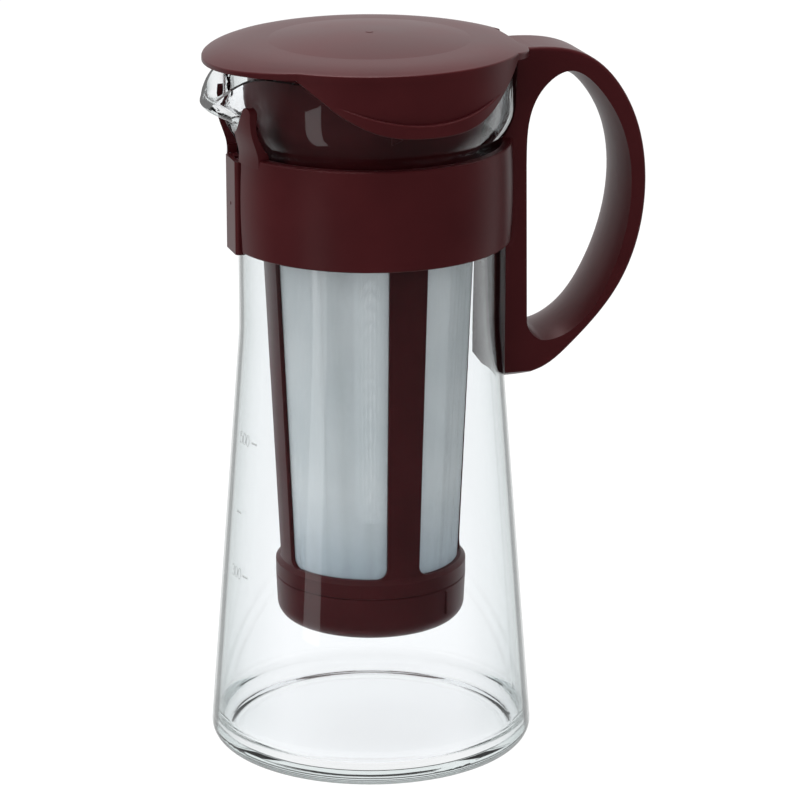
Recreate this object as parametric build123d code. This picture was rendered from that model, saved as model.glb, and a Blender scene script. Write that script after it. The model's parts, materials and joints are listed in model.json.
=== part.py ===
from build123d import *
import math
import os

os.makedirs("parts", exist_ok=True)

# Cold brew coffee maker: a glass jug with a plastic neck band and handle, a flat lid and
# a hanging strainer.  Millimetres, +Z up.  The origin is the centre of the base ring on
# which the jug stands; the jug's axis is Z, the handle is at +X and the spout at -X.

# ---- glass jug -------------------------------------------------------------------------
BASE_R = 47.0            # radius of the cone body at the height of the base
BASE_CORNER = 4.2        # outside radius between the flat base and the wall
FLOOR_CORNER = 7.0       # inside radius between the floor and the wall
NECK_R = 37.3            # outside radius of the straight neck
NECK_LOW_Z = 123.0       # where the cone body meets the straight neck
NECK_BEND = 120.0        # radius of the easing there
SHOULDER_LOW_Z = 178.2   # where the neck starts to flare
SHOULDER_RISE = 10.2     # height of the flare
SHOULDER_EASE = 0.1      # softness of the bend where the flare starts, share of its height
SHOULDER_R = 41.1        # outside radius above the flare
RIM_FLARE = 0.4          # further flare from the shoulder to the rim
RIM_Z = 201.2            # top of the glass
GLASS_WALL = 1.9
GLASS_FLOOR = 3.0
SPOUT_REACH = 6.9        # how far the lip stands out beyond the shoulder
SPOUT_DROP = 12.0        # how far the lip dips below the rim
SPOUT_HALF_ANGLE = 18.0  # half the angle of rim that the spout takes, degrees
SPOUT_LOW_Z = 185.0      # where the spout starts to leave the shoulder
SPOUT_HIGH_Z = 190.2     # where it has its full reach
SPOUT_STEPS = 14         # points drawn on each side of the spout
FLARE_STEPS = 20         # outlines drawn from the neck to the rim

# ---- neck band with prongs and handle, and the clip ------------------------------------
BAND_FIT = 0.15          # gap between the glass and what hugs it
BAND_LOW_Z = 149.3
BAND_HEIGHT = 28.4
BAND_R = 40.0            # outside radius at the band's two edges
BAND_BARREL = 0.5        # bulge of the band at mid height
BAND_ROUND = 0.6         # rounding of the band's outer edges
SPLIT_GAP = 2.0          # gap between the two band ends under the spout
PRONG_HEIGHT = 15.0      # prongs above the band
PRONG_FIT = 0.35         # gap between the prongs and the flared glass
PRONG_R = 43.4           # outside radius of the prongs at their tips
PRONG_OUTER_Y = 17.8     # outer side of each prong at its tip
PRONG_FOOT_Y = 16.2      # outer side of each prong where it leaves the band
PRONG_INNER_Y = 6.0      # half the gap between the prongs at the clip
PRONG_TIP = 3.3          # width of the prong's tip
HOLLOW_HEIGHT = 6.9      # foot of the hollow that cradles the spout, above the band
HOLLOW_Y = 8.6
CLIP_WIDTH = 11.2
CLIP_WALL = 1.5
CLIP_FACE_X = 40.6       # distance of the clip's flat face from the axis
CLIP_TOP_DROP = 2.6      # top of the clip below the top of the band
CLIP_FOOT_DROP = 0.9     # foot of the clip below the foot of the band
CLIP_ROUND = 1.1         # rounding of the clip's two upright edges
CLIP_LIP = 1.4           # thickness of the two lips that hook behind the rails
CLIP_LIP_REACH = 1.0
CLIP_FIT = 0.15
CLIP_RECESS = 2.2        # free width each side of the clip in the band
HANDLE_REACH = 79.3      # outermost point of the grip from the axis
HANDLE_REACH_Z = 163.5
HANDLE_FOOT_Z = 106.2    # lowest point of the spine plate
SPINE_OUT_X = 43.2       # outer face of the spine plate
SPINE_STANDOFF = 1.2     # air behind the spine plate below the band
HANDLE_TOP_WIDTH = 18.4
HANDLE_FOOT_WIDTH = 24.8
GRIP_EDGE = 3.7          # thickness of the grip at its two edges
GRIP_CROWN = 2.5         # how much thicker the grip is along its middle
GRIP_TOP = 6.2           # from the top of the handle down to the hand opening
GRIP_FOOT = 11.6         # from the foot of the handle up to the hand opening
HANDLE_ROUND = 1.0       # rounding of the grip's outer edges

# ---- strainer --------------------------------------------------------------------------
STRAINER_TURN = 4.5      # the first rib stands this many degrees round from the handle
RIB_COUNT = 4
RIB_ANGLE = 21.5
RIB_DEPTH = 2.2
CAGE_LOW_R = 26.3        # outside radius of the ribs just above the lower ring
CAGE_TAPER = 0.046       # growth of the cage radius per millimetre of height
SEAM_Z = 50.2            # seam between strainer frame and cap
RING_R = 27.5
RING_HEIGHT = 5.2        # lower ring between the seam and the windows
RING_BEVEL = 1.2
WINDOW_HIGH_Z = 165.0    # top of the mesh windows, behind the neck band
WINDOW_ROUND = 3.0
WINDOW_EDGE = 0.4        # rounding of the windows' outer edges
CUP_R = 34.2             # outside radius of the upper cup
CUP_WALL = 1.3
CUP_LOW_Z = 189.5        # where the cup starts to narrow
THROAT_R = 31.1          # outside radius in the glass neck
THROAT_Z = 176.5
FLANGE_R = 40.2          # hanging flange on the glass rim
FLANGE_WALL = 1.4
FLANGE_OPEN = 84.0       # angle left out of the flange over the spout, degrees
SEAT_GAP = 0.2           # gap between pieces that rest on each other
MESH_WALL = 0.4
MESH_INSET = 1.2         # the cloth lies this far below the outside of the ribs
MESH_TUCK = 1.0          # the cloth runs this far into the frame
MESH_FIT = 0.06
CAP_HEIGHT = 13.1
CAP_WALL = 1.5
CAP_CORNER = 4.6
SPIGOT_WALL = 1.5
SPIGOT_DEPTH = 6.5
LUG_COUNT = 3
LUG_ANGLE = 28.0
LUG_HEIGHT = 1.5
LUG_REACH = 0.8
LUG_FIT = 0.35
CAP_MARK_ANGLE = -55.0   # raised line that shows how the cap is turned
CAP_MARK = 0.35

# ---- lid -------------------------------------------------------------------------------
LID_R = 42.9
LID_WALL = 2.2
LID_TIP_WALL = 1.1       # the lid thins to this at the tip of the beak
LID_DOME_R = 28.4        # the raised middle
LID_DOME = 1.9           # height of the raised middle
LID_STEP = 1.3           # rise from the seat circle to the raised middle
LID_DROOP = 2.4          # fall from the seat circle to the tip of the beak
BEAK_TIP_R = 47.3
BEAK_ROUND = 36.2        # plan radius of the beak
EAR_R = 44.6             # reach of the two ears beside the handle
EAR_ROUND = 14.0
EAR_TURN = 22.0
NOTCH_X = 40.3           # flat between the ears
NOTCH_WIDTH = 21.6
NOTCH_ROUND = 1.4
LID_ROUND = 0.5
SKIRT_FIT = 0.45         # gap between the glass rim and the finger skirts
SKIRT_TURN = 83.5        # the skirts sit this far round from the handle, degrees
SKIRT_HALF = 33.0        # half width of a skirt where it leaves the lid
SKIRT_DEPTH = 15.5
LIP_HALF = 24.0          # half width of the ledge that the finger pulls on
LIP_HEIGHT = 3.4
LIP_REACH = 1.4          # the ledge stands this far out of the skirt at its middle
LIP_RISE = 5.4           # the ledge rises this much towards its two ends
LIP_ROUND = 0.5
LIP_OVERHANG = 0.3       # the ledge hangs this far below the skirt's foot
PLUG_DEPTH = 6.0         # ring that centres the lid in the strainer cup
PLUG_WALL = 1.3
PLUG_FIT = 0.3

# ---- worked out from the sizes above -----------------------------------------------------
BAND_HIGH_Z = BAND_LOW_Z + BAND_HEIGHT
SHOULDER_HIGH_Z = SHOULDER_LOW_Z + SHOULDER_RISE
JUG_JOIN_Z = SHOULDER_LOW_Z - 8
RIM_R = SHOULDER_R + RIM_FLARE
CLIP_HIGH_Z = BAND_HIGH_Z - CLIP_TOP_DROP
CLIP_LOW_Z = BAND_LOW_Z - CLIP_FOOT_DROP
RAIL_X = CLIP_FACE_X - CLIP_WALL - CLIP_FIT
FLANGE_Z = RIM_Z + SEAT_GAP
LID_SEAT_Z = FLANGE_Z + FLANGE_WALL + SEAT_GAP
HANDLE_TOP_Z = LID_SEAT_Z
WINDOW_LOW_Z = SEAM_Z + RING_HEIGHT
WINDOW_ANGLE = 360 / RIB_COUNT - RIB_ANGLE
CAP_BORE_R = RING_R - CAP_WALL
SPIGOT_R = CAP_BORE_R - LUG_REACH - LUG_FIT
FAR = 100.0


def cage_r(z):
    """Outside radius of the strainer's ribs at height z."""
    return CAGE_LOW_R + CAGE_TAPER * (z - WINDOW_LOW_Z)


def ease(value, low, high):
    """Smooth step from 0 at low to 1 at high."""
    t = min(1.0, max(0.0, (value - low) / (high - low)))
    return t * t * (3 - 2 * t)


def smooth(*points, ends):
    """Smooth line through points with the given directions at its two ends."""
    directions = [Vector(*end).normalized() for end in ends]
    return Spline(*points, tangents=directions, tangent_scalars=[1, 1])


def turned(profile):
    """Solid of revolution about Z of a face drawn as (radius, height)."""
    return revolve(Plane.XZ * profile, Axis.Z)


def along_y(profile, reach=FAR):
    """Prism through the whole object along Y of a face drawn as (x, z)."""
    return extrude(Plane.XZ * profile, amount=reach, both=True)


def block(x0, x1, y0, y1, z0, z1):
    """Cutting block between two corners."""
    return Pos((x0 + x1) / 2, (y0 + y1) / 2, (z0 + z1) / 2) * Box(x1 - x0, y1 - y0, z1 - z0)


def both_sides(shape):
    """A shape and its mirror image across the plane through handle and spout."""
    return shape + mirror(shape, Plane.XZ)


# ---- glass -----------------------------------------------------------------------------
def jug_lower(grow, top=JUG_JOIN_Z):
    """Turned part of the jug up to the neck, with its wall moved outwards by grow."""
    inside = grow < 0
    corner = FLOOR_CORNER if inside else BASE_CORNER + grow
    floor = GLASS_FLOOR if inside else -grow
    slope = (BASE_R - NECK_R) / NECK_LOW_Z
    side = FilletPolyline(
        (0, floor),
        (BASE_R + grow - slope * floor, floor),
        (NECK_R + grow, NECK_LOW_Z),
        (NECK_R + grow, top),
        radius=[corner, NECK_BEND],
    )
    return turned(make_face(side + Polyline(side @ 1, (0, top), side @ 0)))


def flare_r(z):
    """Outside radius of the glass above the neck, away from the spout."""
    rise = min(1.0, max(0.0, (z - SHOULDER_LOW_Z) / SHOULDER_RISE))
    eased = rise**2 * (1 + SHOULDER_EASE) / (rise + SHOULDER_EASE)
    flare = 1 - (1 - eased) ** 2
    return NECK_R + (SHOULDER_R - NECK_R) * flare + RIM_FLARE * ease(z, SHOULDER_HIGH_Z, RIM_Z)


def flare_heights():
    """Evenly spaced heights from the neck to just above the rim."""
    step = (RIM_Z + 2 - JUG_JOIN_Z) / FLARE_STEPS
    return [JUG_JOIN_Z + step * k for k in range(FLARE_STEPS + 1)]


def jug_section(z, grow):
    """Closed outline of the jug at height z above the neck: a circle with the spout's bulge."""
    reach = SPOUT_REACH * ease(z + 0.7 * grow, SPOUT_LOW_Z, SPOUT_HIGH_Z)
    width = SPOUT_HALF_ANGLE * (0.68 + 0.32 * ease(z, SPOUT_LOW_Z, RIM_Z - 4))
    points = []
    shares = []
    for k in range(-SPOUT_STEPS, SPOUT_STEPS + 1):
        share = k / SPOUT_STEPS
        away = 180 * (0.35 * share + 0.65 * share**3)
        radius = flare_r(z) + grow + reach * math.exp(-((abs(away) / width) ** 4))
        turn = math.radians(180 + away)
        points.append((radius * math.cos(turn), radius * math.sin(turn)))
        shares.append((away + 180) / 360)
    outline = Edge.make_spline(points[:-1], periodic=True, parameters=shares)
    return Plane.XY.offset(z) * make_face(outline)


def jug_upper(grow):
    """Flare, shoulder and spout as one loft, a little taller than the rim."""
    neck = make_face(Circle(NECK_R + grow).edge())
    sections = []
    for z in flare_heights():
        straight = z < SHOULDER_LOW_Z
        sections.append(Plane.XY.offset(z) * neck if straight else jug_section(z, grow))
    return loft(sections)


def jug_clearance():
    """Room taken by the jug away from its spout, with the small gap the plastic keeps."""
    flare = Spline(*[(flare_r(z) + BAND_FIT, z) for z in flare_heights()])
    rest = Polyline(flare @ 1, (0, RIM_Z + 2), (0, JUG_JOIN_Z), flare @ 0)
    return jug_lower(BAND_FIT) + turned(make_face(flare + rest))


def above_rim():
    """Everything above the rim line, which dips towards the lip of the spout."""
    tip_x = -(RIM_R + SPOUT_REACH)
    lip_z = RIM_Z - SPOUT_DROP
    rim = smooth(
        (tip_x, lip_z),
        (tip_x + 1.1, lip_z + 2.3),
        (tip_x + 5.6, RIM_Z - 4.1),
        (tip_x + 9.8, RIM_Z - 1.3),
        (tip_x + 14.5, RIM_Z),
        ends=((0.3, 1), (1, 0)),
    )
    rest = Polyline(rim @ 1, (FAR, RIM_Z), (FAR, FAR * 3), (-FAR, FAR * 3), (-FAR, lip_z), rim @ 0)
    return along_y(make_face(rim + rest))


def make_glass():
    """Blown glass jug: wide base, cone body, straight neck, flared shoulder and spout."""
    outside = jug_lower(0) + jug_upper(0)
    inside = jug_lower(-GLASS_WALL) + jug_upper(-GLASS_WALL)
    return outside - inside - above_rim()


# ---- neck band and handle --------------------------------------------------------------
def make_band_ring():
    """Barrel-shaped ring round the neck."""
    inner = NECK_R - 1
    mid = (BAND_LOW_Z + BAND_HIGH_Z) / 2
    bulge = ThreePointArc((BAND_R, BAND_LOW_Z), (BAND_R + BAND_BARREL, mid), (BAND_R, BAND_HIGH_Z))
    rest = Polyline(bulge @ 1, (inner, BAND_HIGH_Z), (inner, BAND_LOW_Z), bulge @ 0)
    section = make_face(bulge + rest)
    return turned(fillet(section.vertices().group_by(Axis.X)[-1], BAND_ROUND))


def prong_outline():
    """Front view of one prong: a tongue with a hollow flank that cradles the spout."""
    low = BAND_HIGH_Z - 3
    tip_z = BAND_HIGH_Z + PRONG_HEIGHT
    shoulder_z = tip_z - 1.5
    tip_in = PRONG_OUTER_Y - PRONG_TIP
    foot = (HOLLOW_Y, BAND_HIGH_Z + HOLLOW_HEIGHT)
    side = Polyline(foot, (PRONG_INNER_Y, low), (PRONG_FOOT_Y, low), (PRONG_OUTER_Y, shoulder_z))
    tip = smooth(
        side @ 1,
        (PRONG_OUTER_Y - PRONG_TIP / 2, tip_z),
        (tip_in, shoulder_z),
        ends=((0, 1), (-0.4, -1)),
    )
    hollow = smooth(
        tip @ 1,
        (tip_in - 1.7, shoulder_z - 2.7),
        foot,
        ends=((-0.4, -1), (-1, -0.15)),
    )
    return make_face(side + tip + hollow)


def prong_section():
    """Half section of the prongs: the band's outer face runs on upwards and follows the flare."""
    inner = NECK_R - 1
    low = BAND_HIGH_Z - 4
    high = BAND_HIGH_Z + PRONG_HEIGHT + 1
    face = smooth(
        (BAND_R + 0.2, low),
        (BAND_R + 0.3, BAND_HIGH_Z),
        (PRONG_R - 1.0, SHOULDER_LOW_Z + SHOULDER_RISE * 0.63),
        (PRONG_R, high),
        ends=((-0.03, 1), (0.04, 1)),
    )
    rest = Polyline(face @ 1, (inner, high), (inner, low), face @ 0)
    return make_face(face + rest)


def make_prongs():
    """The two prongs that rise from the band and follow the flared glass."""
    prong = turned(prong_section()) & extrude(Plane.YZ * prong_outline(), amount=-FAR)
    return both_sides(prong - jug_upper(PRONG_FIT))


def clip_groove_block(extra):
    """Space of the clip's two lips over the band's height, grown by extra."""
    outer = CLIP_WIDTH / 2 + extra
    inner = CLIP_WIDTH / 2 - CLIP_LIP - extra
    deep = RAIL_X - CLIP_LIP_REACH - extra
    return both_sides(block(-FAR, -deep, inner, outer, CLIP_LOW_Z, CLIP_HIGH_Z + extra))


def grip_outer():
    """Outer line of the handle in side view, from the lid down to the foot."""
    depth = HANDLE_REACH - SPINE_OUT_X
    rise = HANDLE_TOP_Z - HANDLE_REACH_Z
    fall = HANDLE_REACH_Z - HANDLE_FOOT_Z
    return smooth(
        (HANDLE_REACH - 0.93 * depth, HANDLE_TOP_Z),
        (HANDLE_REACH - 0.49 * depth, HANDLE_REACH_Z + 0.92 * rise),
        (HANDLE_REACH - 0.17 * depth, HANDLE_REACH_Z + 0.62 * rise),
        (HANDLE_REACH, HANDLE_REACH_Z),
        (HANDLE_REACH - 0.225 * depth, HANDLE_REACH_Z - 0.54 * fall),
        (HANDLE_REACH - 0.63 * depth, HANDLE_REACH_Z - 0.825 * fall),
        (HANDLE_REACH - 0.92 * depth, HANDLE_REACH_Z - 0.944 * fall),
        ends=((1, -0.02), (-1, -0.28)),
    )


def handle_side():
    """Side view of the whole handle, with its back inside the glass for trimming."""
    outer = grip_outer()
    back = NECK_R - 2
    rest = Polyline(outer @ 1, (back, HANDLE_FOOT_Z), (back, HANDLE_TOP_Z), outer @ 0)
    return make_face(outer + rest)


def grip_opening(inset):
    """Hand opening of the handle in side view; inset makes it narrower away from the spine."""
    x = SPINE_OUT_X
    right = HANDLE_REACH - GRIP_EDGE - inset
    depth = right - x
    rise = HANDLE_TOP_Z - GRIP_TOP - inset - HANDLE_REACH_Z
    fall = HANDLE_REACH_Z - HANDLE_FOOT_Z - GRIP_FOOT - inset
    spine = Line((x, HANDLE_REACH_Z - 0.87 * fall), (x, HANDLE_REACH_Z + 0.19 * rise))
    loop = smooth(
        spine @ 1,
        (x + 0.14 * depth, HANDLE_REACH_Z + 0.83 * rise),
        (x + 0.42 * depth, HANDLE_REACH_Z + rise),
        (right - 0.29 * depth, HANDLE_REACH_Z + 0.81 * rise),
        (right, HANDLE_REACH_Z + 0.03 * rise),
        (right - 0.24 * depth, HANDLE_REACH_Z - 0.67 * fall),
        (x + 0.48 * depth, HANDLE_REACH_Z - 0.92 * fall),
        (x + 0.163 * depth, HANDLE_REACH_Z - fall),
        ends=((0.02, 1), (-1, 0.06)),
    )
    corner = smooth(loop @ 1, spine @ 0, ends=((-1, 0.06), (0, 1)))
    return make_face(spine + loop + corner)


def grip_cutter():
    """Hand opening through the handle, waisted so that the grip is crowned inside."""
    half = HANDLE_FOOT_WIDTH / 2 + 0.5
    sections = [
        Plane.XZ.offset(offset) * grip_opening(inset)
        for offset, inset in ((-half, 0.0), (0.0, GRIP_CROWN), (half, 0.0))
    ]
    return loft(sections)


def handle_front():
    """Front view of the handle: narrow at the lid, wider at the foot, with a rounded foot."""
    top = HANDLE_TOP_WIDTH / 2
    foot = HANDLE_FOOT_WIDTH / 2
    foot_z = HANDLE_FOOT_Z + 3.2
    sides = Polyline((-foot, foot_z), (-top, HANDLE_TOP_Z + 1), (top, HANDLE_TOP_Z + 1), (foot, foot_z))
    bottom = ThreePointArc((foot, foot_z), (0, HANDLE_FOOT_Z), (-foot, foot_z))
    return make_face(sides + bottom)


def make_handle():
    """D-shaped grip and spine plate in one."""
    blank = along_y(handle_side()) & extrude(Plane.YZ * handle_front(), amount=FAR)
    outer = [edge for edge in blank.edges() if edge.bounding_box().max.X > HANDLE_REACH - 1]
    sides = [edge for edge in outer if edge.bounding_box().max.Y * edge.bounding_box().min.Y > 1]
    return fillet(sides, HANDLE_ROUND) - grip_cutter()


def make_handle_band():
    """Neck band, prongs and handle: one moulding, split under the spout."""
    body = make_band_ring() + make_handle()
    standoff = Pos(0, 0, BAND_LOW_Z - FAR / 2) * Cylinder(NECK_R + SPINE_STANDOFF, FAR)
    body = body - standoff - jug_clearance()
    body = body + make_prongs()
    half = CLIP_WIDTH / 2 + CLIP_RECESS
    recess_high = CLIP_HIGH_Z + CLIP_FIT
    recess = block(-FAR, -RAIL_X, -half, half, BAND_LOW_Z, recess_high)
    gap = block(-FAR, 0, -PRONG_INNER_Y, PRONG_INNER_Y, recess_high, FAR * 3)
    split = block(-FAR, 0, -SPLIT_GAP / 2, SPLIT_GAP / 2, BAND_LOW_Z, recess_high)
    return body - recess - gap - split - clip_groove_block(CLIP_FIT)


def make_clip():
    """Slide-on clip: a flat plate whose two lips hook behind the rails of the band ends."""
    half = CLIP_WIDTH / 2
    back = -(CLIP_FACE_X - CLIP_WALL)
    plate = block(-CLIP_FACE_X, back, -half, half, CLIP_LOW_Z, CLIP_HIGH_Z)
    plate = fillet(plate.edges().filter_by(Axis.Z).group_by(Axis.X)[0], CLIP_ROUND)
    tip = -(RAIL_X - CLIP_LIP_REACH)
    lips = both_sides(block(back, tip, half - CLIP_LIP, half, CLIP_LOW_Z, CLIP_HIGH_Z))
    return plate + lips


# ---- strainer --------------------------------------------------------------------------
def frame_profile():
    """Half section of the strainer frame before the windows are cut."""
    spigot_low = SEAM_Z - SPIGOT_DEPTH
    high = WINDOW_HIGH_Z
    cage_in = cage_r(WINDOW_LOW_Z) - RIB_DEPTH
    outside = Polyline(
        (SPIGOT_R, spigot_low),
        (SPIGOT_R, SEAM_Z),
        (RING_R, SEAM_Z),
        (RING_R, WINDOW_LOW_Z - RING_BEVEL),
        (cage_r(WINDOW_LOW_Z), WINDOW_LOW_Z),
        (cage_r(high), high),
    )
    funnel_out = smooth(
        outside @ 1,
        (THROAT_R, THROAT_Z),
        (CUP_R - 1.5, CUP_LOW_Z - 5),
        (CUP_R, CUP_LOW_Z + 1),
        ends=((CAGE_TAPER, 1), (0, 1)),
    )
    top = Polyline(
        funnel_out @ 1,
        (CUP_R, FLANGE_Z),
        (FLANGE_R, FLANGE_Z),
        (FLANGE_R, FLANGE_Z + FLANGE_WALL),
        (CUP_R - CUP_WALL, FLANGE_Z + FLANGE_WALL),
        (CUP_R - CUP_WALL, CUP_LOW_Z + 1),
    )
    funnel_in = smooth(
        top @ 1,
        (CUP_R - CUP_WALL - 1.5, CUP_LOW_Z - 5),
        (THROAT_R - CUP_WALL - 0.2, THROAT_Z),
        (cage_r(high) - RIB_DEPTH, high),
        ends=((0, -1), (-CAGE_TAPER, -1)),
    )
    inside = Polyline(
        funnel_in @ 1,
        (cage_in, WINDOW_LOW_Z),
        (SPIGOT_R - SPIGOT_WALL, SEAM_Z),
        (SPIGOT_R - SPIGOT_WALL, spigot_low),
        outside @ 0,
    )
    return make_face(outside + funnel_out + top + funnel_in + inside)


def sector(profile, middle, angle):
    """Part of a turned body, angle degrees wide, about the direction middle."""
    return Rot(0, 0, middle - angle / 2) * revolve(Plane.XZ * profile, Axis.Z, angle)


def window_turns():
    """Directions of the window middles."""
    pitch = 360 / RIB_COUNT
    return [STRAINER_TURN + pitch * (k + 0.5) for k in range(RIB_COUNT)]


def make_window():
    """Cutter of one window with rounded corners, about +X."""
    r0, r1 = CAGE_LOW_R - 12, CUP_R + 5
    z0, z1 = WINDOW_LOW_Z, WINDOW_HIGH_Z
    outline = make_face(Polyline((r0, z0), (r1, z0), (r1, z1), (r0, z1), close=True))
    body = sector(outline, 0, WINDOW_ANGLE)
    side_faces = body.faces().filter_by(GeomType.PLANE).filter_by(Axis.Z, reverse=True)
    radial = [edge for face in side_faces for edge in face.edges().filter_by(Axis.Z, reverse=True)]
    return fillet(radial, WINDOW_ROUND)


def cloth_outline(extra):
    """Section of the cloth, as (radius, height), grown by extra on every side."""
    low = WINDOW_LOW_Z - MESH_TUCK - extra
    high = WINDOW_HIGH_Z + MESH_TUCK + extra
    out = -MESH_INSET + extra
    into = -MESH_INSET - MESH_WALL - extra
    return make_face(
        Polyline(
            (cage_r(low) + into, low),
            (cage_r(low) + out, low),
            (cage_r(high) + out, high),
            (cage_r(high) + into, high),
            close=True,
        )
    )


def make_cloth(middle, extra=0.0):
    """One mesh panel, tucked into the frame all round."""
    tuck = math.degrees((MESH_TUCK + extra) / CAGE_LOW_R)
    return sector(cloth_outline(extra), middle, WINDOW_ANGLE + 2 * tuck)


def lug_ring(r_in, r_out, low, high):
    """The lugs of one half of the cap's bayonet."""
    outline = make_face(Polyline((r_in, low), (r_out, low), (r_out, high), (r_in, high), close=True))
    lugs = [
        sector(outline, STRAINER_TURN + k * 360 / LUG_COUNT, LUG_ANGLE) for k in range(LUG_COUNT)
    ]
    return lugs


def window_edges(body):
    """Outer edges of the windows."""
    found = []
    for edge in body.edges():
        middle = edge @ 0.5
        on_ribs = abs(math.hypot(middle.X, middle.Y) - cage_r(middle.Z)) < 0.06
        around = edge.bounding_box().size.X > CAGE_LOW_R * 1.5
        if on_ribs and not around and WINDOW_LOW_Z - 1 < middle.Z < WINDOW_HIGH_Z + 1:
            found.append(edge)
    return found


def make_strainer_frame():
    """Upper cup with hanging flange, four ribs, lower ring and spigot."""
    body = turned(frame_profile())
    window = make_window()
    for middle in window_turns():
        body = body - Rot(0, 0, middle) * window
    for middle in window_turns():
        body = body - make_cloth(middle, MESH_FIT)
    open_face = make_face(
        Polyline(
            (CUP_R + 0.6, FLANGE_Z - 1),
            (FLANGE_R + 1, FLANGE_Z - 1),
            (FLANGE_R + 1, LID_SEAT_Z + 1),
            (CUP_R + 0.6, LID_SEAT_Z + 1),
            close=True,
        )
    )
    body = body - sector(open_face, 180, FLANGE_OPEN)
    body = fillet(window_edges(body), WINDOW_EDGE)
    low = SEAM_Z - SPIGOT_DEPTH
    for lug in lug_ring(SPIGOT_R - 0.4, SPIGOT_R + LUG_REACH, low, low + LUG_HEIGHT):
        body = body + lug
    return body


def make_cap():
    """Cup that closes the strainer, held by three inner lugs above those of the spigot."""
    low = SEAM_Z - CAP_HEIGHT
    high = SEAM_Z - SEAT_GAP
    inner_corner = CAP_CORNER - CAP_WALL
    shell = FilletPolyline(
        (0, low),
        (RING_R - 0.6, low),
        (RING_R, high),
        (CAP_BORE_R, high),
        (CAP_BORE_R - 0.4, low + CAP_WALL),
        (0, low + CAP_WALL),
        radius=[CAP_CORNER, 0.4, 0.4, inner_corner],
    )
    body = turned(make_face(shell + Line(shell @ 1, shell @ 0)))
    lug_low = SEAM_Z - SPIGOT_DEPTH + LUG_HEIGHT + SEAT_GAP
    for lug in lug_ring(CAP_BORE_R - LUG_REACH, CAP_BORE_R + 0.4, lug_low, lug_low + LUG_HEIGHT):
        body = body + lug
    mark = block(RING_R - 0.8, RING_R + CAP_MARK, -0.35, 0.35, low + CAP_CORNER + 0.4, high - 0.9)
    return body + Rot(0, 0, CAP_MARK_ANGLE) * mark


# ---- lid -------------------------------------------------------------------------------
def lid_line(drop, tip_drop):
    """Half line of the lid's top, moved down by drop and at the beak's tip by tip_drop."""
    seat = LID_SEAT_Z + LID_WALL - drop
    tip = LID_SEAT_Z + LID_WALL - LID_DROOP - tip_drop
    middle = seat + LID_STEP
    dome = ThreePointArc(
        (0, middle + LID_DOME), (LID_DOME_R / 2, middle + LID_DOME * 0.75), (LID_DOME_R, middle)
    )
    brim = Spline(
        dome @ 1,
        (LID_R - 6.6, seat + 0.75),
        (LID_R - 2.0, seat),
        (BEAK_TIP_R, tip),
        (BEAK_TIP_R + 3, tip - 2.2),
    )
    return dome, brim


def lid_plan():
    """Plan of the lid: a disc with a beak, two ears and the flat between them."""
    beak = Pos(-(BEAK_TIP_R - BEAK_ROUND), 0) * Circle(BEAK_ROUND)
    ear = Pos(EAR_R - EAR_ROUND, 0) * Circle(EAR_ROUND)
    plan = Circle(LID_R) + beak + Rot(0, 0, EAR_TURN) * ear + Rot(0, 0, -EAR_TURN) * ear
    notch = Pos(NOTCH_X + 10, 0) * Rectangle(20, NOTCH_WIDTH)
    plan = plan - notch
    outer = plan.vertices().group_by(Axis.X)[-1]
    return fillet(outer, NOTCH_ROUND)


def upper_rim(plate):
    """Edges along the top of the upright faces of the lid plate."""
    found = []
    for face in plate.faces():
        if abs(face.normal_at(face.center()).Z) > 0.01:
            continue
        level = [edge for edge in face.edges() if edge.geom_type != GeomType.LINE]
        middle = sum(edge.center().Z for edge in level) / len(level)
        found += [edge for edge in level if edge.center().Z > middle]
    return found


def make_lid_plate():
    """Domed plate of even thickness, trimmed to the plan."""
    top_dome, top_brim = lid_line(0, 0)
    low_dome, low_brim = lid_line(LID_WALL, LID_TIP_WALL)
    outer = Line(top_brim @ 1, low_brim @ 1)
    axis = Line(low_dome @ 0, top_dome @ 0)
    plate = turned(make_face(top_dome + top_brim + outer + low_brim + low_dome + axis))
    plate = plate & extrude(Plane.XY.offset(LID_SEAT_Z - 20) * lid_plan(), amount=60)
    return fillet(upper_rim(plate), LID_ROUND)


def skirt_foot():
    """Lower edge of a finger skirt in front view: hangs deepest at the middle."""
    low = LID_SEAT_Z - SKIRT_DEPTH
    half = [
        (0.45 * SKIRT_HALF, low + 0.11 * SKIRT_DEPTH),
        (0.65 * SKIRT_HALF, low + 0.32 * SKIRT_DEPTH),
        (0.84 * SKIRT_HALF, low + 0.64 * SKIRT_DEPTH),
        (SKIRT_HALF, LID_SEAT_Z - 0.4),
    ]
    left = [(-y, z) for y, z in reversed(half)]
    return smooth(*left, (0, low), *half, ends=((1, -1), (1, 1)))


def skirt_outline():
    """Front view of a finger skirt."""
    foot = skirt_foot()
    high = LID_SEAT_Z + 1.2
    return make_face(foot + Polyline(foot @ 1, (SKIRT_HALF, high), (-SKIRT_HALF, high), foot @ 0))


def lip_outline():
    """Front view of the ledge: between the skirt's foot and a flatter line above it."""
    ledge_z = LID_SEAT_Z - SKIRT_DEPTH + LIP_HEIGHT
    wide = LIP_HALF + 2
    end_z = ledge_z + LIP_RISE * (wide / LIP_HALF) ** 2
    ledge = ThreePointArc((-wide, end_z), (0, ledge_z), (wide, end_z))
    below = LID_SEAT_Z - SKIRT_DEPTH - 2
    rest = Polyline(ledge @ 1, (wide, below), (-wide, below), ledge @ 0)
    return make_face(ledge + rest) & (Pos(0, -LIP_OVERHANG) * skirt_outline())


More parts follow.
